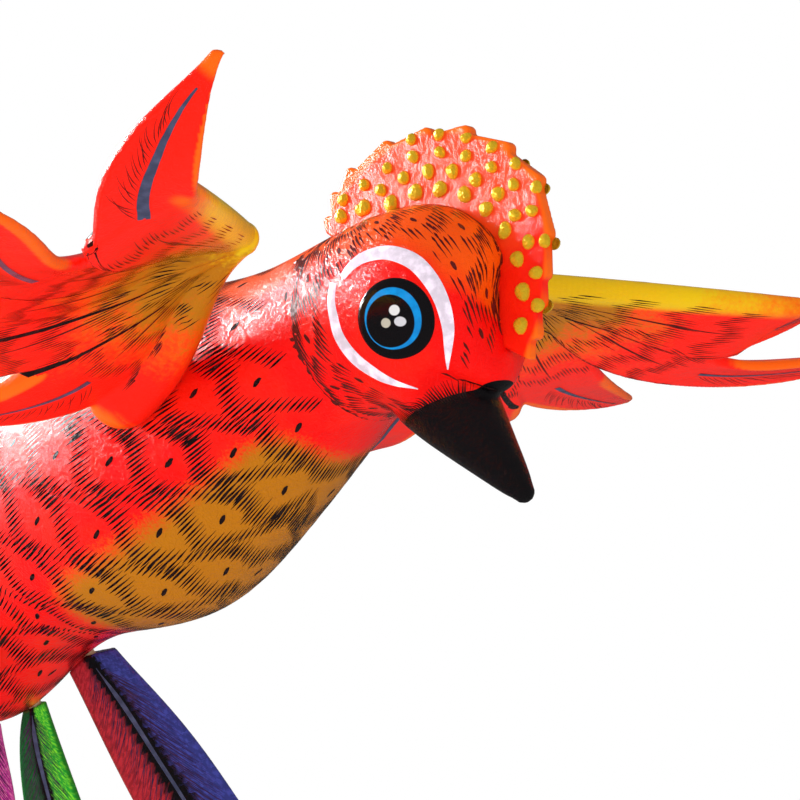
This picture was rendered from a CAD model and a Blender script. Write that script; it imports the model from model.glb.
"""Looks of a carved and painted wooden bird: hand-painted lacquered wood, gold drops, painted eyes.

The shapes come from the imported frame. Paint places are in millimetres in the bird's own frame, whose
origin is the middle of the head, +X forward, +Y its left and +Z up.
"""

import bpy
import numpy as np
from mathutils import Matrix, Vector
from mathutils.bvhtree import BVHTree


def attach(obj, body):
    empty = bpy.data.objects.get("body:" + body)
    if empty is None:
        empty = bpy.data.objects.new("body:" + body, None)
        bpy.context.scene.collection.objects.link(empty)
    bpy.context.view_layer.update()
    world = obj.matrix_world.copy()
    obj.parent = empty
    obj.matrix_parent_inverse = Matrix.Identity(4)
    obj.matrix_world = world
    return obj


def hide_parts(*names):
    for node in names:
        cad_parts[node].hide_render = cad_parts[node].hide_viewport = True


MM = 0.001
HEAD = np.array([60.3, 0.0, 184.0])      # the middle of the head, in the row's frame, in millimetres

RNG = np.random.default_rng(7)

# Camera
CAMERA_AZIMUTH = 40.0
CAMERA_ELEVATION = -5.0
CAMERA_DISTANCE = 500.0
CAMERA_SHIFT_RIGHT = -6.6
CAMERA_SHIFT_UP = -19.8
CAMERA_LENS = 102.27

STUDIO_FILL = 0.74           # light from all round, as a share of the white backdrop
STUDIO_GLARE = 0.09          # what the varnish mirrors of it
FLOOR_RADIUS = 0.8           # metres

# Colours, linear
RED = (0.88, 0.002, 0.001)
BRIGHT_RED = (0.95, 0.010, 0.002)
ORANGE = (0.92, 0.085, 0.001)
RIM_ORANGE = (0.95, 0.12, 0.002)
EDGE_ORANGE = (0.92, 0.14, 0.002)
CREST_ORANGE = (0.92, 0.06, 0.006)
CREST_RIM = (0.92, 0.13, 0.004)
OCHRE = (0.47, 0.16, 0.002)
YELLOW = (0.80, 0.52, 0.004)
BLACK = (0.004, 0.003, 0.004)
BRUSH_BLACK = (0.010, 0.003, 0.003)
BROWN_BLACK = (0.075, 0.006, 0.004)
BARB_BLACK = (0.035, 0.012, 0.04)
BLUE_GREY = (0.045, 0.05, 0.095)
WHITE = (0.66, 0.58, 0.68)
CYAN = (0.004, 0.29, 0.72)
GOLD = (0.98, 0.66, 0.03)
BARE_WOOD = (0.62, 0.45, 0.27)
TAIL_COLOURS = {             # rear half, front half, streaks
    "center": ((0.30, 0.01, 0.16), (0.52, 0.03, 0.30), (0.75, 0.16, 0.42)),
    "inner": ((0.006, 0.10, 0.02), (0.02, 0.42, 0.03), (0.22, 0.80, 0.03)),
    "outer": ((0.50, 0.022, 0.035), (0.030, 0.036, 0.20), (0.05, 0.06, 0.34)),
}

# Beak: its direction, the direction across it, and where its black paint starts and slants
BEAK_AHEAD = np.array([0.698, 0.0, -0.716])
BEAK_UP = np.array([0.716, 0.0, 0.698])
BEAK_ROOT = np.array([4.5, 0.0, -19.3])
BLACK_START, BLACK_SLANT = 3.8, 0.45
SKULL = np.array([-1.0, 0.0, -1.0])

# Eye, on the right side
EYE_CENTRE = np.array([7.5, -21.5, -4.4])
EYE_NORMAL = np.array([0.33, -0.94, -0.03])
EYE_RADIUS = 8.7

# Body spine from the face to the rump: x, z
SPINE = np.array([
    (21.6, -5.8), (2.0, -1.0), (-21.0, -2.9), (-47.5, -16.2), (-80.0, -29.3),
    (-118.0, -46.5), (-150.0, -72.5), (-168.0, -89.0),
])
WING_FRONT_EDGE = [(-12, 47, 12), (12, 80, 10.2), (31, 106.5, 9.2)]
WRIST = np.array([-12.0, 47.0, 12.0])


# Geometry helpers ------------------------------------------------------------------------------


def unit(v):
    v = np.asarray(v, float)
    return v / np.linalg.norm(v)


def to_bird(points):
    """Row frame in metres to the bird's frame in millimetres."""
    return np.asarray(points, float) / MM - HEAD


def to_row(points):
    """Bird's frame in millimetres to the row frame in metres."""
    return (np.asarray(points, float) + HEAD) * MM


def mesh_points(mesh):
    flat = np.empty(len(mesh.vertices) * 3)
    mesh.vertices.foreach_get("co", flat)
    return flat.reshape(-1, 3)


def new_piece(name, points, faces):
    """A smooth mesh object from points in the row frame."""
    mesh = bpy.data.meshes.new(name)
    mesh.from_pydata([tuple(p) for p in points], [], [tuple(f) for f in faces])
    mesh.shade_smooth()
    piece = bpy.data.objects.new(name, mesh)
    bpy.context.collection.objects.link(piece)
    return piece


def carved_copy(node, name, voxel, rounds):
    """A copy of a CAD node with an even mesh and softened edges, as sanding and paint leave them."""
    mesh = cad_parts[node].data.copy()
    rough = bpy.data.objects.new(name + "_rough", mesh)
    bpy.context.collection.objects.link(rough)
    remesh = rough.modifiers.new("even", "REMESH")
    remesh.mode = "VOXEL"
    remesh.voxel_size = voxel * MM
    smooth = rough.modifiers.new("soften", "SMOOTH")
    smooth.factor = 0.5
    smooth.iterations = rounds
    evaluated = rough.evaluated_get(bpy.context.evaluated_depsgraph_get())
    made = bpy.data.meshes.new_from_object(evaluated)
    bpy.data.objects.remove(rough)
    made.name = name
    made.materials.clear()
    made.shade_smooth()
    piece = bpy.data.objects.new(name, made)
    bpy.context.collection.objects.link(piece)
    return piece


def finish_piece(piece, body, material, *nodes):
    """Gives a piece its material and its place in the moving frame."""
    piece.data.materials.append(material)
    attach(piece, body)
    if nodes:
        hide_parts(*nodes)
    return piece


def store(mesh, name, values):
    """Stores a value or a vector for every vertex of the mesh."""
    values = np.asarray(values, float)
    if values.ndim == 1:
        mesh.attributes.new(name, "FLOAT", "POINT").data.foreach_set("value", values)
    else:
        mesh.attributes.new(name, "FLOAT_VECTOR", "POINT").data.foreach_set("vector", values.ravel())


def smoothstep(low, high, x):
    t = np.clip((x - low) / (high - low), 0, 1)
    return t * t * (3 - 2 * t)


# Brush strokes: thin ribbons of paint that follow a surface -------------------------------------


class Surface:
    """A painted surface that strokes can be laid on."""

    def __init__(self, piece):
        self.points = to_bird(mesh_points(piece.data))
        polygons = [tuple(p.vertices) for p in piece.data.polygons]
        self.tree = BVHTree.FromPolygons([Vector(p) for p in self.points], polygons)

    def cast(self, spot, direction):
        """Where a line from spot along direction meets the surface, and the surface's normal there."""
        direction = Vector(direction)
        hit, normal, _, _ = self.tree.ray_cast(Vector(spot) - direction * 60, direction)
        return hit, normal

    def nearest(self, spot):
        hit, normal, _, _ = self.tree.find_nearest(Vector(spot))
        return hit, normal


class Strokes:
    """Collects ribbons and makes one mesh of them."""

    def __init__(self, surface):
        self.surface = surface
        self.points = []
        self.faces = []

    def add(self, path, widths, lift=0.05):
        """A ribbon along path, points in the bird's frame; each is brought to the nearest surface point."""
        path = np.asarray(path, float)
        forward = np.gradient(path, axis=0)
        start = len(self.points)
        for spot, step, width in zip(path, forward, widths):
            hit, normal = self.surface.nearest(spot)
            if hit is None:
                return
            across = np.cross(np.array(normal), unit(step + 1e-9))
            across = unit(across + 1e-9)
            middle = np.array(hit) + np.array(normal) * lift
            for side in (-0.5, 0.5):
                edge = middle + across * width * side
                near, facing = self.surface.nearest(edge)
                self.points.append(np.array(near) + np.array(facing) * lift)
        for i in range(len(path) - 1):
            a = start + 2 * i
            self.faces.append((a, a + 2, a + 3, a + 1))

    def disc(self, centre, long_way, length, width, lift=0.07, count=14):
        """A flat oval of paint with a soft outline."""
        hit, normal = self.surface.nearest(centre)
        if hit is None:
            return
        normal = np.array(normal)
        along = unit(np.asarray(long_way) - normal * np.dot(long_way, normal))
        across = np.cross(normal, along)
        start = len(self.points)
        for turn in np.linspace(0, 2 * np.pi, count, endpoint=False):
            wobble = 1 + 0.08 * RNG.standard_normal()
            outward = along * np.cos(turn) * length + across * np.sin(turn) * width
            spot = np.array(hit) + wobble * outward / 2
            near, facing = self.surface.nearest(spot)
            self.points.append(np.array(near) + np.array(facing) * lift)
        self.faces.append(tuple(range(start, start + count)))

    def piece(self, name):
        return new_piece(name, to_row(self.points), self.faces)


def taper(count, width, head=0.25, tail=0.6):
    """Stroke widths that swell quickly and thin out slowly."""
    t = np.linspace(0, 1, count)
    return width * np.clip(np.minimum(t / head, 1), 0.12, 1) * np.clip(np.minimum((1 - t) / tail, 1), 0.1, 1)


# Materials ----------------------------------------------------------------------------------


class Shader:
    """Short names for making a material's nodes."""

    def __init__(self, name):
        self.material = bpy.data.materials.new(name)
        self.material.use_nodes = True
        self.tree = self.material.node_tree
        self.tree.nodes.clear()
        self.out = self.node("ShaderNodeOutputMaterial")
        self.skin = self.node("ShaderNodeBsdfPrincipled")
        self.tree.links.new(self.skin.outputs[0], self.out.inputs["Surface"])

    def node(self, kind, **settings):
        made = self.tree.nodes.new(kind)
        for key, value in settings.items():
            setattr(made, key, value)
        return made

    def put(self, socket, value):
        if hasattr(value, "is_output"):
            self.tree.links.new(value, socket)
        else:
            socket.default_value = value

    def math(self, operation, a, b=0.0):
        made = self.node("ShaderNodeMath", operation=operation)
        for socket, value in zip(made.inputs, (a, b)):
            self.put(socket, value)
        return made.outputs[0]

    def step(self, low, high, x):
        """0 below low, 1 above high, smooth between."""
        made = self.node("ShaderNodeMapRange", interpolation_type="SMOOTHSTEP")
        made.inputs["From Min"].default_value = low
        made.inputs["From Max"].default_value = high
        self.put(made.inputs["Value"], x)
        return made.outputs[0]

    def swing(self, noise, amount):
        """Noise spread about 0, as far as amount from end to end."""
        return self.math("MULTIPLY", self.math("SUBTRACT", noise, 0.5), amount)

    def mix(self, share, a, b):
        made = self.node("ShaderNodeMix", data_type="RGBA")
        self.put(made.inputs[0], share)
        for socket, value in ((made.inputs[6], a), (made.inputs[7], b)):
            self.put(socket, value if hasattr(value, "is_output") else (*value, 1.0))
        return made.outputs[2]

    def place(self):
        """The spot in the row frame, in metres."""
        return self.node("ShaderNodeTexCoord").outputs["Object"]

    def noise(self, scale, detail=3.0, roughness=0.5, distortion=0.0, stretch=None):
        made = self.node("ShaderNodeTexNoise")
        made.inputs["Scale"].default_value = scale
        made.inputs["Detail"].default_value = detail
        made.inputs["Roughness"].default_value = roughness
        made.inputs["Distortion"].default_value = distortion
        where = self.place()
        if stretch is not None:
            mapping = self.node("ShaderNodeMapping")
            mapping.inputs["Scale"].default_value = stretch
            self.put(mapping.inputs["Vector"], where)
            where = mapping.outputs[0]
        self.put(made.inputs["Vector"], where)
        return made.outputs["Fac"]

    def attribute(self, name, part="Fac"):
        return self.node("ShaderNodeAttribute", attribute_name=name).outputs[part]

    def parts(self, vector):
        made = self.node("ShaderNodeSeparateXYZ")
        self.put(made.inputs[0], vector)
        return made.outputs

    def bump(self, height, strength, distance, below=None):
        made = self.node("ShaderNodeBump")
        made.inputs["Strength"].default_value = strength
        made.inputs["Distance"].default_value = distance
        self.put(made.inputs["Height"], height)
        if below is not None:
            self.put(made.inputs["Normal"], below)
        return made.outputs[0]

    def lacquer(self, colour, roughness=0.38, varnish=0.9, wrinkle=0.5, varnish_roughness=0.09):
        """Painted wood under hand-brushed varnish with fine wrinkles."""
        self.put(self.skin.inputs["Base Color"], colour if hasattr(colour, "is_output") else (*colour, 1.0))
        self.skin.inputs["Roughness"].default_value = roughness
        self.skin.inputs["Specular IOR Level"].default_value = 0.04
        self.skin.inputs["Coat Weight"].default_value = varnish
        self.skin.inputs["Coat Roughness"].default_value = varnish_roughness
        wood = self.noise(90.0, 2.0)
        wrinkles = self.noise(800.0, 5.0, 0.62, 0.9)
        pores = self.noise(1900.0, 2.0, 0.5)
        normal = self.bump(wood, 0.5, 0.0012)
        normal = self.bump(wrinkles, wrinkle, 0.00042, normal)
        normal = self.bump(pores, wrinkle * 0.5, 0.00012, normal)
        self.put(self.skin.inputs["Normal"], normal)
        self.put(self.skin.inputs["Coat Normal"], normal)
        return self.material


def stroke_material(name, colour, roughness=0.35):
    shader = Shader(name)
    worn = tuple(c * 1.6 + 0.004 for c in colour)
    patchy = shader.mix(shader.step(0.35, 0.75, shader.noise(400.0, 3.0)), colour, worn)
    return shader.lacquer(patchy, roughness, 0.8, 0.35)


def body_material():
    shader = Shader("painted_body")
    zone = shader.attribute("zone", "Vector")
    warm, belly, beak = shader.parts(zone)
    speckle = shader.noise(1500.0, 2.0, 0.7)
    clouds = shader.noise(60.0, 3.0, 0.6)
    paint = shader.mix(shader.step(0.4, 0.68, clouds), RED, BRIGHT_RED)
    warm_edge = shader.math("ADD", warm, shader.swing(clouds, 0.5))
    paint = shader.mix(shader.step(0.25, 0.85, warm_edge), paint, ORANGE)
    ragged = shader.swing(speckle, 0.6)
    belly_edge = shader.math("ADD", belly, ragged)
    paint = shader.mix(shader.step(0.25, 0.80, belly_edge), paint, OCHRE)
    paint = shader.mix(shader.step(0.47, 0.53, beak), paint, BLACK)
    return shader.lacquer(paint, 0.4, 0.9, 0.85)


def crest_material():
    shader = Shader("painted_crest")
    polar = shader.attribute("polar", "Vector")
    turn, rim, _ = shader.parts(polar)
    clouds = shader.noise(150.0, 3.0, 0.6)
    edge = shader.math("ADD", turn, shader.swing(clouds, 0.6))
    paint = shader.mix(shader.step(0.15, 0.75, edge), BRIGHT_RED, CREST_ORANGE)
    paint = shader.mix(shader.step(0.45, 0.95, rim), paint, CREST_RIM)
    return shader.lacquer(paint, 0.32, 1.0, 0.4, 0.07)


def gold_material():
    shader = Shader("gold_drops")
    flakes = shader.noise(2600.0, 2.0)
    shader.put(shader.skin.inputs["Base Color"], shader.mix(flakes, (0.80, 0.45, 0.012), GOLD))
    shader.skin.inputs["Metallic"].default_value = 0.45
    shader.skin.inputs["Roughness"].default_value = 0.22
    shader.put(shader.skin.inputs["Normal"], shader.bump(shader.noise(1100.0, 2.0), 0.9, 0.0005))
    return shader.material


def wood_material():
    shader = Shader("bare_wood")
    grain = shader.noise(260.0, 4.0, 0.6, 0.6, (1.0, 1.0, 0.12))
    shader.put(shader.skin.inputs["Base Color"], shader.mix(grain, (0.42, 0.27, 0.14), BARE_WOOD))
    shader.skin.inputs["Roughness"].default_value = 0.7
    shader.put(shader.skin.inputs["Normal"], shader.bump(grain, 0.3, 0.0003))
    return shader.material


def wing_material():
    """Wing paint, from three values: place across a feather, distance from the wrist, nearness to a rim."""
    shader = Shader("painted_wing")
    across, reach, edge = shader.parts(shader.attribute("blade", "Vector"))
    clouds = shader.noise(70.0, 3.0, 0.6)
    speckle = shader.noise(900.0, 2.0, 0.6)
    drift = shader.swing(clouds, 0.3)
    far = shader.math("ADD", reach, drift)
    far = shader.math("ADD", far, shader.swing(speckle, 0.18))
    paint = shader.mix(shader.step(0.18, 0.36, far), OCHRE, ORANGE)
    paint = shader.mix(shader.step(0.26, 0.44, far), paint, BRIGHT_RED)
    paint = shader.mix(shader.step(-0.05, 0.10, far), YELLOW, paint)
    paint = shader.mix(shader.step(0.35, 0.75, edge), paint, RIM_ORANGE)
    front_paint = shader.mix(shader.step(0.40, 0.70, far), YELLOW, EDGE_ORANGE)
    front, _, _ = shader.parts(shader.attribute("front", "Vector"))
    paint = shader.mix(front, paint, front_paint)
    return shader.lacquer(paint, 0.4, 0.85, 0.45)


def feather_material(name, rear, front, streak):
    """A tail feather: one colour on each side of a dark band, with brushed streaks."""
    shader = Shader(name)
    across, along, _ = shader.parts(shader.attribute("blade", "Vector"))
    strokes = shader.node("ShaderNodeTexNoise")
    strokes.inputs["Scale"].default_value = 5.0
    strokes.inputs["Detail"].default_value = 4.0
    slanted = shader.node("ShaderNodeCombineXYZ")
    shader.put(slanted.inputs[0], shader.math("MULTIPLY", across, 1.6))
    lean = shader.math("MULTIPLY", shader.math("ABSOLUTE", across), -0.6)
    drift = shader.math("ADD", lean, shader.math("MULTIPLY", along, 6.0))
    shader.put(slanted.inputs[1], shader.math("MULTIPLY", drift, 3.2))
    shader.put(strokes.inputs["Vector"], slanted.outputs[0])
    brushed = strokes.outputs["Fac"]
    rear_paint = shader.mix(shader.step(0.40, 0.62, brushed), rear, tuple(c * 0.6 for c in rear))
    front_paint = shader.mix(shader.step(0.42, 0.66, brushed), front, streak)
    paint = shader.mix(shader.step(-0.05, 0.05, across), rear_paint, front_paint)
    off = shader.math("ABSOLUTE", across)
    paint = shader.mix(shader.step(0.85, 1.0, off), paint, tuple(c * 0.4 for c in front))
    band = shader.math("ADD", off, shader.swing(brushed, 0.3))
    paint = shader.mix(shader.step(0.12, 0.30, band), BLACK, paint)
    return shader.lacquer(paint, 0.36, 0.9, 0.3)


def eye_material():
    """Black disc with a cyan ring of uneven width and three pale dots."""
    shader = Shader("painted_eye")
    right, up, _ = shader.parts(shader.attribute("eye", "Vector"))

    def oval(x, y, wide, high):
        """Distance from (x, y), 1 on the outline of the oval."""
        a = shader.math("DIVIDE", shader.math("SUBTRACT", right, x), wide)
        b = shader.math("DIVIDE", shader.math("SUBTRACT", up, y), high)
        squares = shader.math("ADD", shader.math("MULTIPLY", a, a), shader.math("MULTIPLY", b, b))
        return shader.math("SQRT", squares)

    outer = shader.step(0.97, 1.0, oval(-0.25, 0.0, 6.3, 6.5))
    inner = shader.step(1.0, 1.04, oval(-0.75, -0.55, 5.2, 5.35))
    ring = shader.math("MULTIPLY", inner, shader.math("SUBTRACT", 1.0, outer))
    shade = shader.mix(shader.step(0.3, 0.7, shader.noise(500.0, 2.0)), CYAN, (0.004, 0.20, 0.55))
    paint = shader.mix(ring, BLACK, shade)
    for x, y, wide, high, colour in (
        (0.55, 1.6, 1.15, 1.1, (0.72, 0.72, 0.72)),
        (1.65, -0.75, 1.25, 1.0, (0.60, 0.60, 0.64)),
        (-1.45, -0.95, 1.05, 1.0, (0.50, 0.47, 0.38)),
    ):
        paint = shader.mix(shader.step(0.9, 1.08, oval(x, y, wide, high)), colour, paint)
    return shader.lacquer(paint, 0.25, 1.0, 0.12, 0.05)


# Paths and blades ---------------------------------------------------------------------------


def smooth_path(points, count):
    """A smooth curve through the points."""
    points = np.asarray(points, float)
    padded = np.vstack([2 * points[0] - points[1], points, 2 * points[-1] - points[-2]])
    out = []
    for t in np.linspace(0, len(points) - 1 - 1e-9, count):
        i = int(t)
        f = t - i
        a, b, c, d = padded[i:i + 4]
        curve = (2 * a - 5 * b + 4 * c - d) * f ** 2 + (3 * b - a - 3 * c + d) * f ** 3
        out.append(0.5 * (2 * b + (c - a) * f + curve))
    return np.array(out)


class Blade:
    """A feather blade: its front and rear edges, from root to tip."""

    def __init__(self, stations, side=1, samples=48):
        flip = np.array([1, side, 1])
        self.front = smooth_path([front for front, _ in stations], samples) * flip
        self.rear = smooth_path([rear for _, rear in stations], samples) * flip
        self.middle = (self.front + self.rear) / 2
        half = (self.front - self.rear) / 2
        self.half = np.linalg.norm(half, axis=1)
        self.across = half / self.half[:, None]
        self.along = np.gradient(self.middle, axis=0)
        normals = np.cross(self.across, self.along)
        self.normal = normals / np.linalg.norm(normals, axis=1)[:, None]
        self.length = np.linalg.norm(np.diff(self.middle, axis=0), axis=1).sum()
        self.samples = samples

    def at(self, t, a, face=0.0):
        """The point at t of the way to the tip and a of the way to the front edge, face mm off the middle."""
        spot = np.clip(t, 0, 1) * (self.samples - 1)
        i = min(int(spot), self.samples - 2)
        f = spot - i

        def between(values):
            return values[i] * (1 - f) + values[i + 1] * f

        sideways = between(self.across) * between(self.half) * a
        return between(self.middle) + sideways + between(self.normal) * face

    def coordinates(self, points):
        """For every point: share across, share along and distance from the middle line's sample."""
        gap = np.linalg.norm(points[:, None, :] - self.middle[None, :, :], axis=2)
        nearest = gap.argmin(axis=1)
        offset = points - self.middle[nearest]
        across = (offset * self.across[nearest]).sum(axis=1) / self.half[nearest]
        step = (offset * self.along[nearest]).sum(axis=1) / (self.along[nearest] ** 2).sum(axis=1)
        along = np.clip((nearest + step) / (self.samples - 1), 0, 1)
        return across, along, gap.min(axis=1)


# Edges of the left wing's and left tail's blades: front point, rear point, from root to tip
WING_BLADES = {
    "first": [
        ((-9.5, 46, 13), (-16, 50, 11)), ((1.5, 61, 11.8), (-11, 66, 7)), ((13, 79, 10.3), (-4.5, 84, 2.2)),
        ((24.5, 96, 9.1), (3, 101, -1.5)), ((34.5, 107, 9.8), (14, 114, 3)), ((40, 111, 13.5), (27, 121, 12)),
        ((45, 114.5, 19.5), (37.5, 121, 19.5)), ((51, 116.3, 28.2), (49.4, 118.2, 28.4)),
    ],
    "second": [
        ((-10, 49.5, 12), (-15, 47, 10.5)), ((-1, 73, 8.5), (-20, 72, 3.5)), ((3, 95, 2.5), (-19.5, 90, -3)),
        ((6.3, 109, -1.3), (-14.5, 107.5, -5.5)), ((13.5, 121, -2), (-4, 127.5, -5.5)),
        ((23, 135.5, -0.5), (10.5, 143, -3.5)), ((28.5, 150.5, 1), (26.5, 152.5, 0)),
    ],
    "third": [
        ((-11, 50, 11.5), (-14, 45, 10.5)), ((-18, 72, 5.5), (-32, 64, 1)), ((-22, 91, -1), (-44, 82, -7)),
        ((-26, 104, -4), (-50.5, 100, -9.5)), ((-34, 124, -6), (-52, 124, -9.5)),
        ((-46, 146, -6.5), (-49, 147, -7.5)),
    ],
    "fourth": [
        ((-12, 50, 11), (-13, 44, 10)), ((-28, 69, 2), (-38, 56, -3)), ((-41, 86, -6.5), (-56, 69, -14)),
        ((-48, 97, -10.5), (-67, 82, -16.5)), ((-59.5, 108, -13), (-73.5, 96, -17)),
        ((-75, 114.5, -15), (-77.5, 112, -15.5)),
    ],
    "fifth": [
        ((-13, 51, 10.5), (-11.5, 43, 10.5)), ((-32, 60, -1), (-37, 41, 0)),
        ((-52, 67, -12.5), (-57, 39, -15)),
        ((-64, 71, -18.5), (-72, 51, -22)), ((-78, 74, -22.5), (-82, 67.5, -24.5)),
    ],
}
TAIL_BLADES = {
    "center": [
        ((-147, 3.5, -95), (-147, -3.5, -95)), ((-147.5, 6.5, -106), (-147.5, -6.5, -106)),
        ((-149, 10.8, -122), (-149, -10.8, -122)), ((-153, 11.8, -142), (-153, -11.8, -142)),
        ((-158.5, 9.3, -162), (-158.5, -9.3, -162)), ((-165, 2.5, -185.5), (-165, -2.5, -185.5)),
    ],
    "inner": [
        ((-140, 13, -90), (-146, 11, -91.5)), ((-139, 17.5, -101), (-150.2, 13.6, -102)),
        ((-137.5, 25, -118), (-153.5, 19, -119)), ((-138.5, 36, -140), (-156.5, 28, -140)),
        ((-143.5, 46, -162), (-157.5, 39, -162)), ((-149.5, 52, -185.5), (-154, 50, -185.5)),
    ],
    "outer": [
        ((-125, 23.5, -76), (-136.5, 15.5, -79)), ((-117.3, 34, -90), (-133.5, 22, -92)),
        ((-109, 47, -109), (-130.5, 32.3, -111)), ((-100, 58, -129), (-122.3, 42.3, -133)),
        ((-84.5, 67.5, -149), (-104.5, 51.5, -156)), ((-65.3, 70.5, -168), (-80, 61.5, -174)),
        ((-47, 69.5, -184.4), (-51, 65.5, -184.6)),
    ],
}
NOTCH_SHARE = {"first": 0.5, "second": 0.5, "third": 0.5, "fourth": 0.5, "fifth": 0.45}


# Body ---------------------------------------------------------------------------------------


def spine_coordinates(points):
    """For every point: length along the spine from the face, turn round it from the top, distance from it."""
    flat = points[:, [0, 2]]
    best = np.full(len(points), 1e9)
    length = np.zeros(len(points))
    turn = np.zeros(len(points))
    run = 0.0
    for a, b in zip(SPINE[:-1], SPINE[1:]):
        span = np.linalg.norm(b - a)
        forward = (b - a) / span
        up = np.array([forward[1], -forward[0]])
        share = np.clip((flat - a) @ forward, 0, span)
        centre = a + share[:, None] * forward
        offset = flat - centre
        gap = np.linalg.norm(offset, axis=1)
        closer = gap < best
        best[closer] = gap[closer]
        length[closer] = run + share[closer]
        turn[closer] = np.degrees(np.arctan2(points[closer, 1], (offset @ up)[closer]))
        run += span
    return length, turn


def spine_spot(length):
    """Where the spine is at a length along it: x, z."""
    spans = np.linalg.norm(np.diff(SPINE, axis=0), axis=1)
    marks = np.concatenate([[0], np.cumsum(spans)])
    length = np.clip(length, 0, marks[-1])
    return np.array([np.interp(length, marks, SPINE[:, 0]), np.interp(length, marks, SPINE[:, 1])])


def spine_point(length, turn, radius):
    """The point at a length along the spine, turned round it from the top, at a distance from it."""
    x, z = spine_spot(length)
    ahead = spine_heading(length)
    up = np.array([ahead[1], -ahead[0]])
    turn = np.radians(turn)
    rise = radius * np.cos(turn)
    return np.array([x + rise * up[0], radius * np.sin(turn), z + rise * up[1]])


def spine_heading(length):
    return unit(spine_spot(length + 6) - spine_spot(length - 6))


def beak_edge(points):
    """How far beyond the edge of the black paint a point lies, along the beak."""
    offset = points[:, [0, 2]] - BEAK_ROOT[[0, 2]]
    return offset @ BEAK_AHEAD[[0, 2]] - BLACK_START - BLACK_SLANT * (offset @ BEAK_UP[[0, 2]])


def make_body():
    body = carved_copy("body", "carved_body_paint", 0.75, 3)
    points = to_bird(mesh_points(body.data))
    length, turn = spine_coordinates(points)
    side = np.abs(turn)
    warm = smoothstep(95, 25, side) * (0.75 + 0.25 * smoothstep(90, 40, length))
    belly = smoothstep(112, 150, side) * smoothstep(150, 125, length) * smoothstep(52, 70, length)
    beak = np.where(points[:, 0] > -9, 0.5 + 0.5 * beak_edge(points), 0.0)
    store(body.data, "zone", np.stack([warm, belly, np.clip(beak, 0, 1)], axis=1))
    return body


def eye_frame(side):
    normal = unit(EYE_NORMAL * np.array([1, side, 1]))
    up = unit(np.array([0, 0, 1]) - normal * normal[2])
    right = np.cross(up, normal) * side
    return EYE_CENTRE * np.array([1, side, 1]), right, up, normal


def make_eye(surface, side, name):
    """A low dome of paint on the head; side is 1 for the right eye and -1 for the left."""
    centre, right, up, normal = eye_frame(side)
    rings, spokes = 16, 64
    points, spots, faces = [], [], []
    for ring in range(rings + 1):
        radius = EYE_RADIUS * ring / rings
        for spoke in range(spokes):
            turn = 2 * np.pi * spoke / spokes
            a, b = radius * np.cos(turn), radius * np.sin(turn)
            near, facing = surface.cast(centre + right * a + up * b, -normal)
            swell = 0.12 + 0.5 * np.sqrt(max(0, 1 - (radius / EYE_RADIUS) ** 2)) if ring < rings else -0.1
            points.append(np.array(near) + np.array(facing) * swell)
            spots.append((a, b, 0))
    for ring in range(rings):
        for spoke in range(spokes):
            after = (spoke + 1) % spokes
            a = ring * spokes
            faces.append((a + spoke, a + after, a + spokes + after, a + spokes + spoke)[::side])
    eye = new_piece(name, to_row(points), faces)
    store(eye.data, "eye", spots)
    return eye


EYE_STROKES = [
    ([(-13.0, 9.6), (-10.5, 12.3), (-7.0, 13.9), (-1.8, 14.2), (3.9, 12.0),
      (7.8, 8.0), (10.1, 3.3), (10.9, -2.0), (10.3, -6.5), (9.2, -10.6)],
     [1.8, 2.5, 2.9, 3.2, 3.4, 3.3, 2.9, 2.4, 1.6, 0.3]),
    ([(-15.3, 8.6), (-15.7, 5.0), (-15.1, 1.2), (-13.9, -3.3),
      (-10.8, -7.7), (-6.2, -11.1), (-2.0, -13.2), (2.6, -14.6)],
     [1.9, 2.1, 2.4, 2.7, 2.9, 2.4, 1.4, 0.2]),
]


def make_eye_strokes(surface, side, name):
    """The white strokes round the eye, laid as thick paint."""
    centre, right, up, normal = eye_frame(side)
    points, faces = [], []
    lanes = 5
    for path, widths in EYE_STROKES:
        count = 60
        smooth = smooth_path(path, count)
        wide = smooth_path([(w,) for w in widths], count)[:, 0]
        step = np.gradient(smooth, axis=0)
        sideways = np.stack([-step[:, 1], step[:, 0]], axis=1)
        sideways /= np.linalg.norm(sideways, axis=1)[:, None]
        start = len(points)
        for spot, across, width in zip(smooth, sideways, wide):
            for lane in np.linspace(-0.5, 0.5, lanes):
                a, b = spot + across * width * lane
                near, facing = surface.cast(centre + right * a + up * b, -normal)
                thick = 0.06 + 0.16 * (1 - (2 * lane) ** 2)
                points.append(np.array(near) + np.array(facing) * thick)
        for i in range(count - 1):
            for lane in range(lanes - 1):
                a = start + i * lanes + lane
                faces.append((a, a + 1, a + lanes + 1, a + lanes)[::-side])
    return new_piece(name, to_row(points), faces)


def eye_gap(spot):
    """Distance of a spot from the eye on its own side, across the eye's axis."""
    side = 1 if spot[1] < 0 else -1
    centre, _, _, normal = eye_frame(side)
    offset = spot - centre
    return np.linalg.norm(offset - normal * (offset @ normal))


def clear_of_eye(spot):
    """Whether a spot lies outside the white strokes, which reach less far ahead of the eye."""
    return eye_gap(spot) > (13.6 if spot[0] > 12 and spot[2] < 10 else 16.3)


# Scales of the body: how far apart the rings of scales are along the spine, and the scales round a ring
RING_FIRST, RING_PITCH, RING_COUNT = 57.0, 13.4, 11
SCALE_TURN = 34.0
HATCH_GAP = 1.05             # between neighbouring strokes


def scale_drift(ring):
    """Turn, in degrees, of the first scale of a ring."""
    return 5.0 + 17.0 * ((ring + 1) % 2) - 4.0 * max(0, 4 - ring)


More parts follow.
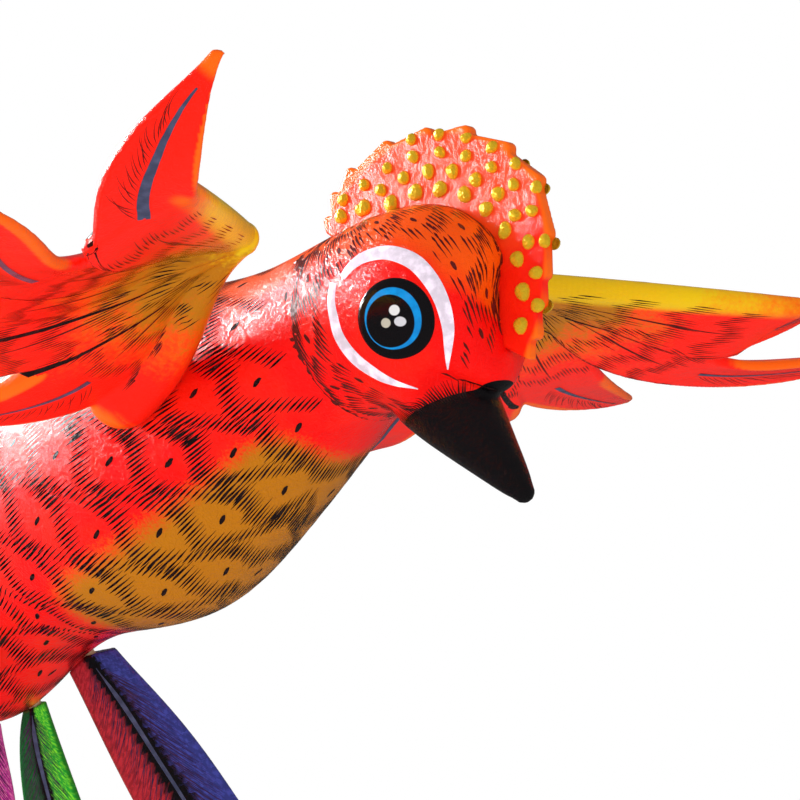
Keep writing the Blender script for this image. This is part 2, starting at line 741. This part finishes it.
def body_stroke(strokes, length, turn, radius, reach, width):
    """One stroke of hatching along the body."""
    reach = reach * RNG.uniform(0.8, 1.15)
    count = 5
    turn = turn + RNG.normal(0, 0.15)
    path = [spine_point(length + reach * t, turn - 0.6 * t, radius) for t in np.linspace(1, -1, count)]
    if length < 62 and (beak_edge(path[-1][None])[0] > -5 or eye_gap(path[-1]) < 17):
        return
    strokes.add(path, taper(count, width * RNG.uniform(0.75, 1.2), 0.3, 0.55))


def paint_scales(strokes):
    """Scales over the body: rings of hatching, slanted rows of it between them, and a dash in each scale."""
    for ring in range(RING_COUNT):
        middle = RING_FIRST + RING_PITCH * ring
        radius = 33 if 70 < middle < 140 else 26
        step = np.degrees(HATCH_GAP / radius)
        drift = scale_drift(ring)
        for side in (-1, 1):
            for turn in np.arange(1, 180, step):
                bulge = 1.3 * np.cos(np.radians((turn - drift) * 360 / SCALE_TURN))
                length = middle + RING_PITCH / 2 + bulge + RNG.normal(0, 0.35)
                body_stroke(strokes, length, side * turn, radius, 3.9, 0.58)
            for scale in np.arange(drift % SCALE_TURN - SCALE_TURN, 176, SCALE_TURN):
                if 2 < scale < 178:
                    spot = spine_point(middle, side * scale, radius)
                    ahead = spine_point(middle - 4, side * (scale - 2.5), radius)
                    strokes.disc(spot, unit(ahead - spot), 2.9, 1.1)
                for turn in np.arange(scale + 6, scale + 33, step):
                    if not 1 < turn < 179:
                        continue
                    share = (turn - scale - 6) / 27
                    sag = 1.2 * np.sin(np.pi * share)
                    length = middle + RING_PITCH * (0.42 - share) - sag
                    body_stroke(strokes, length, side * turn, radius, 2.9, 0.52)


def head_point(fall, turn, radius=23.0):
    """The point of the head fall degrees back from the beak, turned round the beak from the top."""
    fall, turn = np.radians(fall), np.radians(turn)
    ring = BEAK_UP * np.cos(turn) + np.array([0.0, 1.0, 0.0]) * np.sin(turn)
    return SKULL + radius * (BEAK_AHEAD * np.cos(fall) + ring * np.sin(fall))


def paint_head(strokes):
    """The same scales, smaller, swept back over the head from the beak."""
    pitch, span, gap = 19.0, 32.0, 1.0
    for ring, middle in enumerate(np.arange(34.0, 150.0, pitch)):
        radius = 23.0 * np.sin(np.radians(min(middle, 125)))
        step = np.degrees(gap / radius)
        drift = 15.0 * (ring % 2) + 4
        spots = [(middle + pitch / 2 + 2.5 * np.cos(np.radians((turn - drift) * 360 / span)), turn, 6.4, 0.55)
                 for turn in np.arange(0, 180, step)]
        for scale in np.arange(drift - span, 178, span):
            spots += [(middle + pitch * (0.42 - share), scale + 5 + 24 * share, 4.8, 0.48)
                      for share in np.arange(0, 1, step / 24)]
        for side in (-1, 1):
            for fall, turn, reach, width in spots:
                if not 0 < turn < 180 or RNG.random() < 0.06:
                    continue
                fall = fall + RNG.normal(0, 0.8)
                reach = reach * RNG.uniform(0.75, 1.15)
                path = [head_point(fall - reach * t, side * turn) for t in np.linspace(-1, 1, 5)]
                if spine_coordinates(path[0][None])[0][0] > 56:
                    continue
                if beak_edge(path[-1][None])[0] > -1.0 or not all(clear_of_eye(spot) for spot in path):
                    continue
                strokes.add(path, taper(5, width * RNG.uniform(0.7, 1.25), 0.2, 0.7))
            for scale in np.arange(drift, 178, span):
                spot = head_point(middle, side * scale)
                if clear_of_eye(spot) and beak_edge(spot[None])[0] < -3:
                    strokes.disc(spot, head_point(middle + 5, side * scale) - spot, 2.4, 0.95)
    for side in (-1, 1):
        for turn in np.linspace(-14, 140, 60):
            angle = np.radians(turn + RNG.normal(0, 1.0))
            root = np.array([23.5 * np.cos(angle), side * RNG.uniform(2.0, 3.4), 23.5 * np.sin(angle)])
            ahead = np.array([-np.sin(angle), 0, np.cos(angle)])
            path = [root + ahead * t * RNG.uniform(3.2, 4.2) for t in np.linspace(-0.5, 0.5, 4)]
            width = RNG.uniform(0.4, 0.9) if turn < 45 else RNG.uniform(0.25, 0.5)
            strokes.add(path, taper(4, width, 0.3, 0.6))


def paint_beak_edge(strokes):
    """Fine strokes where the black of the beak runs out over the face."""
    for turn in np.linspace(0, 2 * np.pi, 110, endpoint=False):
        height = 11 * np.cos(turn)
        edge = BLACK_START + BLACK_SLANT * height
        spot = BEAK_ROOT + BEAK_AHEAD * edge + BEAK_UP * height + np.array([0, 11 * np.sin(turn), 0])
        away = -BEAK_AHEAD + BEAK_UP * 0.25 * np.cos(turn)
        length = 3.5 + 2.5 * RNG.random()
        path = [spot + BEAK_AHEAD * 1.5 + away * length * t for t in np.linspace(0, 1, 5)]
        strokes.add(path, taper(5, 0.55, 0.05, 0.9), 0.04)


# Crest --------------------------------------------------------------------------------------


def make_crest():
    """The crest; its paint depends on the turn round the head and the distance from the saw-tooth rim."""
    crest = carved_copy("crest", "crest_paint", 0.38, 2)
    points = to_bird(mesh_points(crest.data))
    radius = np.hypot(points[:, 0], points[:, 2])
    turn = np.degrees(np.arctan2(points[:, 2], points[:, 0]))
    top = smoothstep(-10, 75, turn)
    outline = np.interp(turn, [-20, 10, 40, 90, 145], [31.5, 34.5, 40.4, 41, 38])
    rim = smoothstep(4.5, 0.5, outline - radius)
    store(crest.data, "polar", np.stack([top, rim, radius], axis=1))
    return crest


def loose_parts(node):
    """The separate solids of a node: the points of each."""
    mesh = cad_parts[node].data
    points = to_bird(mesh_points(mesh))
    keys = {}
    group = np.arange(len(points))
    for i, point in enumerate(np.round(points, 4)):
        group[i] = keys.setdefault(tuple(point), i)
    parent = list(range(len(points)))

    def root(i):
        while parent[i] != i:
            parent[i] = parent[parent[i]]
            i = parent[i]
        return i

    for polygon in mesh.polygons:
        first, *others = [root(group[v]) for v in polygon.vertices]
        for other in others:
            parent[root(other)] = root(first)
    parts = {}
    for i in range(len(points)):
        parts.setdefault(root(group[i]), []).append(points[i])
    return [np.array(part) for part in parts.values()]


def make_drops(node, side, name):
    """Uneven drops of gold paint where the frame has its drops."""
    points, faces = [], []
    rings, spokes = 6, 14
    for part in loose_parts(node):
        low, high = part.min(axis=0), part.max(axis=0)
        centre = (low + high) / 2
        radius = max(high[0] - low[0], high[2] - low[2]) / 2
        if radius < 0.5:
            continue
        face_y = side * 1.5
        size = radius * RNG.uniform(0.98, 1.12)
        longer = RNG.uniform(1.0, 1.15)
        lean = RNG.uniform(0, np.pi)
        phases = RNG.uniform(0, 2 * np.pi, 3)
        shift = RNG.normal(0, 0.1, 2)
        start = len(points)
        for ring in range(rings + 1):
            share = ring / rings
            for spoke in range(spokes):
                turn = 2 * np.pi * spoke / spokes
                ragged = 1 + 0.07 * np.sin(2 * turn + phases[0]) + 0.05 * np.sin(3 * turn + phases[1])
                reach = size * np.sin(share * np.pi / 2) * ragged
                a, b = reach * np.cos(turn) * longer, reach * np.sin(turn)
                x = centre[0] + shift[0] + a * np.cos(lean) - b * np.sin(lean)
                z = centre[2] + shift[1] + a * np.sin(lean) + b * np.cos(lean)
                ripple = 0.08 * np.sin(2 * turn + phases[2]) * share * (1 - share) * 4
                lift = 1.35 * np.cos(share * np.pi / 2) ** 0.8 + ripple
                points.append((x, face_y + side * (lift - 0.15), z))
        for ring in range(rings):
            for spoke in range(spokes):
                after = (spoke + 1) % spokes
                a = start + ring * spokes
                faces.append((a + spoke, a + after, a + spokes + after, a + spokes + spoke)[::side])
    return new_piece(name, to_row(points), faces)


# Wings and tail -----------------------------------------------------------------------------


def make_wing(side, name, node):
    """A wing with the paint's coordinates on it, and its five feathers as blades."""
    wing = carved_copy(node, name, 0.6, 2)
    points = to_bird(mesh_points(wing.data))
    blades = [Blade(stations, side) for stations in WING_BLADES.values()]
    best = np.full(len(points), 1e9)
    edge = np.zeros(len(points))
    across = np.zeros(len(points))
    for key, blade in zip(WING_BLADES, blades):
        a, t, gap = blade.coordinates(points)
        cost = gap + 8 * np.clip(np.abs(a) - 1, 0, 5)
        closer = cost < best
        best[closer] = cost[closer]
        across[closer] = a[closer]
        notch = NOTCH_SHARE[key]
        rim = smoothstep(0.55, 0.95, np.abs(a)) * smoothstep(notch, notch + 0.15, t)
        edge[closer] = np.maximum(rim, smoothstep(0.9, 1.0, t))[closer]
    wrist = WRIST * np.array([1, side, 1])
    reach = np.linalg.norm(points - wrist, axis=1) / 110
    store(wing.data, "blade", np.stack([across, reach, edge], axis=1))
    bone = smooth_path(WING_FRONT_EDGE, 60) * np.array([1, side, 1])
    gap = np.linalg.norm(points[:, None] - bone[None], axis=2).min(axis=1)
    front = smoothstep(4.4, 2.6, gap)
    store(wing.data, "front", np.stack([front, gap, gap], axis=1))
    return wing, blades


def paint_wing(blades, dark, faint, veins):
    """Lines fanning from the wrist, rows of hatching, veins with their barbs, and spots in the notches."""
    for name, blade in zip(WING_BLADES, blades):
        notch = NOTCH_SHARE[name]
        for face in (-3.0, 3.0):
            path = [blade.at(t, 0.02, face) for t in np.linspace(notch + 0.04, 0.92, 22)]
            veins.add(path, (2.4 if name == "first" else 1.6) * np.linspace(1, 0.1, 22) ** 0.8, 0.10)
            spine = [blade.at(t, 0.08, face) for t in np.linspace(0.10, notch - 0.05, 16)]
            faint.add(spine, taper(16, 0.55, 0.5, 0.3))
            for t in np.arange(notch + 0.05, 0.85, 1.5 / blade.length):
                swell = 0.35 + 0.35 * RNG.random()
                barb = [blade.at(t + 0.08 * s, -0.12 - swell * s ** 0.9, face) for s in np.linspace(0, 1, 5)]
                faint.add(barb, taper(5, 0.24, 0.05, 0.9))
            for row in range(4):
                base = 0.08 + 0.10 * row
                rise = 0.8 / max(blade.half[int(base * 47)], 4)
                for a in np.arange(-0.94, 0.95, rise):
                    lobe = 0.035 * abs(np.cos(np.pi * a))
                    start = base + lobe + RNG.normal(0, 0.006)
                    long_share = 0.055 * RNG.uniform(0.7, 1.2)
                    stroke = [blade.at(start + long_share * s, a, face) for s in np.linspace(0, 1, 4)]
                    (dark if row < 2 else faint).add(stroke, taper(4, 0.34))
            if name != "fifth":
                line = [blade.at(t, -0.98, face) for t in np.linspace(0.14, notch + 0.04, 26)]
                dark.add(line, np.linspace(0.5, 1.9, 26), 0.06)
                spot = blade.at(notch + 0.03, -0.98, face)
                dark.disc(spot, blade.at(0.7, -0.9, face) - blade.at(0.5, -0.9, face), 4.5, 2.6)


def make_tail_feather(node, name, stations, side):
    """A tail feather with the paint's coordinates on it, and its blade."""
    feather = carved_copy(node, name, 0.5, 2)
    points = to_bird(mesh_points(feather.data))
    blade = Blade(stations, side)
    across, along, _ = blade.coordinates(points)
    store(feather.data, "blade", np.stack([across, along, across], axis=1))
    return feather, blade


def paint_tail_feather(blade, veins, barbs):
    """A vein down the middle of each face, and fine barbs slanting from it."""
    for face in (-3.0, 3.0):
        path = [blade.at(t, 0.0, face) for t in np.linspace(0.04, 0.94, 30)]
        veins.add(path, taper(30, 1.2, 0.1, 0.8), 0.08)
        for t in np.arange(0.04, 0.92, 0.8 / blade.length):
            for half in (-1, 1):
                steps = np.linspace(0, 1, 5)
                swell = 0.55 + 0.35 * RNG.random()
                barb = [blade.at(t + 0.10 * s, half * (0.16 + swell * s), face) for s in steps]
                barbs.add(barb, taper(5, 0.22, 0.05, 0.9), 0.05)


# Stage --------------------------------------------------------------------------------------


def make_camera():
    azimuth, elevation = np.radians(CAMERA_AZIMUTH), np.radians(CAMERA_ELEVATION)
    level = np.cos(elevation)
    back = np.array([np.sin(azimuth) * level, -np.cos(azimuth) * level, np.sin(elevation)])
    right = np.array([np.cos(azimuth), np.sin(azimuth), 0])
    up = np.cross(back, right)
    camera = bpy.data.objects.new("Camera", bpy.data.cameras.new("Camera"))
    bpy.context.collection.objects.link(camera)
    camera.data.lens = CAMERA_LENS
    camera.data.sensor_width = 36
    camera.data.clip_start = 0.01
    camera.data.clip_end = 20
    shift = CAMERA_SHIFT_RIGHT * right + CAMERA_SHIFT_UP * up
    camera.location = Vector((HEAD + CAMERA_DISTANCE * back + shift) * MM)
    camera.rotation_mode = "QUATERNION"
    camera.rotation_quaternion = Vector(-back).to_track_quat("-Z", "Y")
    bpy.context.scene.camera = camera


def area_light(name, place, aim, size, power):
    data = bpy.data.lights.new(name, "AREA")
    data.shape = "RECTANGLE"
    data.size, data.size_y = size
    data.energy = power
    light = bpy.data.objects.new(name, data)
    bpy.context.collection.objects.link(light)
    light.location = place
    light.rotation_mode = "QUATERNION"
    light.rotation_quaternion = (Vector(aim) - Vector(place)).to_track_quat("-Z", "Y")
    return light


def make_stage():
    world = bpy.data.worlds.new("studio")
    bpy.context.scene.world = world
    world.use_nodes = True
    nodes, links = world.node_tree.nodes, world.node_tree.links
    rays = nodes.new("ShaderNodeLightPath")
    shown = nodes["Background"].outputs[0]
    nodes["Background"].inputs["Color"].default_value = (1.0, 1.0, 1.0, 1.0)
    nodes["Background"].inputs["Strength"].default_value = STUDIO_FILL
    for kind, strength in (("Is Glossy Ray", STUDIO_GLARE), ("Is Camera Ray", 1.0)):
        background = nodes.new("ShaderNodeBackground")
        background.inputs["Color"].default_value = (1.0, 1.0, 1.0, 1.0)
        background.inputs["Strength"].default_value = strength
        choice = nodes.new("ShaderNodeMixShader")
        links.new(rays.outputs[kind], choice.inputs[0])
        links.new(shown, choice.inputs[1])
        links.new(background.outputs[0], choice.inputs[2])
        shown = choice.outputs[0]
    links.new(shown, nodes["World Output"].inputs["Surface"])
    bpy.context.scene.view_settings.view_transform = "Standard"
    turns = np.linspace(0, 2 * np.pi, 96, endpoint=False)
    rim = [(FLOOR_RADIUS * np.cos(t), FLOOR_RADIUS * np.sin(t), -0.0005) for t in turns]
    floor = new_piece("floor", rim, [tuple(range(96))])
    shader = Shader("pale_floor")
    paper = shader.mix(shader.noise(3.0, 2.0), (0.80, 0.80, 0.79), (0.84, 0.84, 0.83))
    shader.put(shader.skin.inputs["Base Color"], paper)
    shader.skin.inputs["Roughness"].default_value = 0.7
    shader.skin.inputs["Emission Color"].default_value = (1.0, 1.0, 1.0, 1.0)
    shader.skin.inputs["Emission Strength"].default_value = 0.25
    floor.data.materials.append(shader.material)
    floor.visible_glossy = False
    area_light("key", (-0.70, -0.44, 0.37), (0.03, 0.0, 0.19), (0.24, 0.24), 7)
    area_light("top", (-0.74, 0.0, 0.50), (0.02, 0.0, 0.16), (0.18, 0.18), 8)
    front = area_light("front", (0.75, -0.65, 0.25), (0.02, 0.0, 0.15), (0.6, 0.6), 2.5)
    front.visible_glossy = False


# Scene --------------------------------------------------------------------------------------

make_camera()
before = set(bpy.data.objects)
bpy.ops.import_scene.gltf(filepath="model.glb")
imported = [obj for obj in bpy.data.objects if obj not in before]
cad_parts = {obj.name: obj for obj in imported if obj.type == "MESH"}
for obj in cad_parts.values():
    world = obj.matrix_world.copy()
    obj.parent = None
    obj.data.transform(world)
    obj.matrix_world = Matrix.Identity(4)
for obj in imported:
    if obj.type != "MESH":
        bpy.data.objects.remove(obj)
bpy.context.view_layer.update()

wood = wood_material()
for node_name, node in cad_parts.items():
    if "dowel" in node_name:
        node.data.materials.clear()
        node.data.materials.append(wood)

black_paint = stroke_material("black_brushwork", BRUSH_BLACK)
faint_paint = stroke_material("faint_brushwork", BROWN_BLACK)
vein_paint = stroke_material("vein_paint", BLUE_GREY)
white_paint = stroke_material("white_paint", WHITE, 0.4)
gold = gold_material()
eye_paint = eye_material()

body = make_body()
surface = Surface(body)
finish_piece(body, "carved_body", body_material(), "body")
body_strokes = Strokes(surface)
paint_scales(body_strokes)
paint_beak_edge(body_strokes)
finish_piece(body_strokes.piece("body_brushwork"), "carved_body", black_paint)
head_strokes = Strokes(surface)
paint_head(head_strokes)
finish_piece(head_strokes.piece("head_brushwork"), "carved_body", faint_paint)
for side, word in ((1, "right"), (-1, "left")):
    finish_piece(make_eye(surface, side, word + "_eye"), "carved_body", eye_paint)
    finish_piece(make_eye_strokes(surface, side, word + "_eye_strokes"), "carved_body", white_paint)

finish_piece(make_crest(), "carved_body", crest_material(), "crest")
for side, word in ((-1, "right"), (1, "left")):
    drops = make_drops("crest_gold_drops_" + word, side, word + "_gold_drops")
    finish_piece(drops, "carved_body", gold, "crest_gold_drops_" + word)

wing_paint = wing_material()
for side, word in ((1, "left"), (-1, "right")):
    wing, blades = make_wing(side, word + "_wing_paint", word + "_wing")
    wing_surface = Surface(wing)
    finish_piece(wing, word + "_wing_body", wing_paint, word + "_wing")
    dark, faint, veins = Strokes(wing_surface), Strokes(wing_surface), Strokes(wing_surface)
    paint_wing(blades, dark, faint, veins)
    finish_piece(dark.piece(word + "_wing_brushwork"), word + "_wing_body", black_paint)
    finish_piece(faint.piece(word + "_wing_hatching"), word + "_wing_body", faint_paint)
    finish_piece(veins.piece(word + "_wing_veins"), word + "_wing_body", vein_paint)

TAIL_PAINTS = {
    key: feather_material("painted_" + key + "_feather", *colours) for key, colours in TAIL_COLOURS.items()
}
barb_paint = stroke_material("feather_barbs", BARB_BLACK)
for key, stations in TAIL_BLADES.items():
    for side, word in ((1, "left"), (-1, "right")) if key != "center" else ((1, ""),):
        place = "center" if key == "center" else word + "_" + key
        feather, blade = make_tail_feather("tail_feather_" + place, place + "_tail_paint", stations, side)
        feather_surface = Surface(feather)
        finish_piece(feather, place + "_tail_body", TAIL_PAINTS[key], "tail_feather_" + place)
        veins, barbs = Strokes(feather_surface), Strokes(feather_surface)
        paint_tail_feather(blade, veins, barbs)
        finish_piece(barbs.piece(place + "_tail_barbs"), place + "_tail_body", barb_paint)
        finish_piece(veins.piece(place + "_tail_vein"), place + "_tail_body", vein_paint)

make_stage()
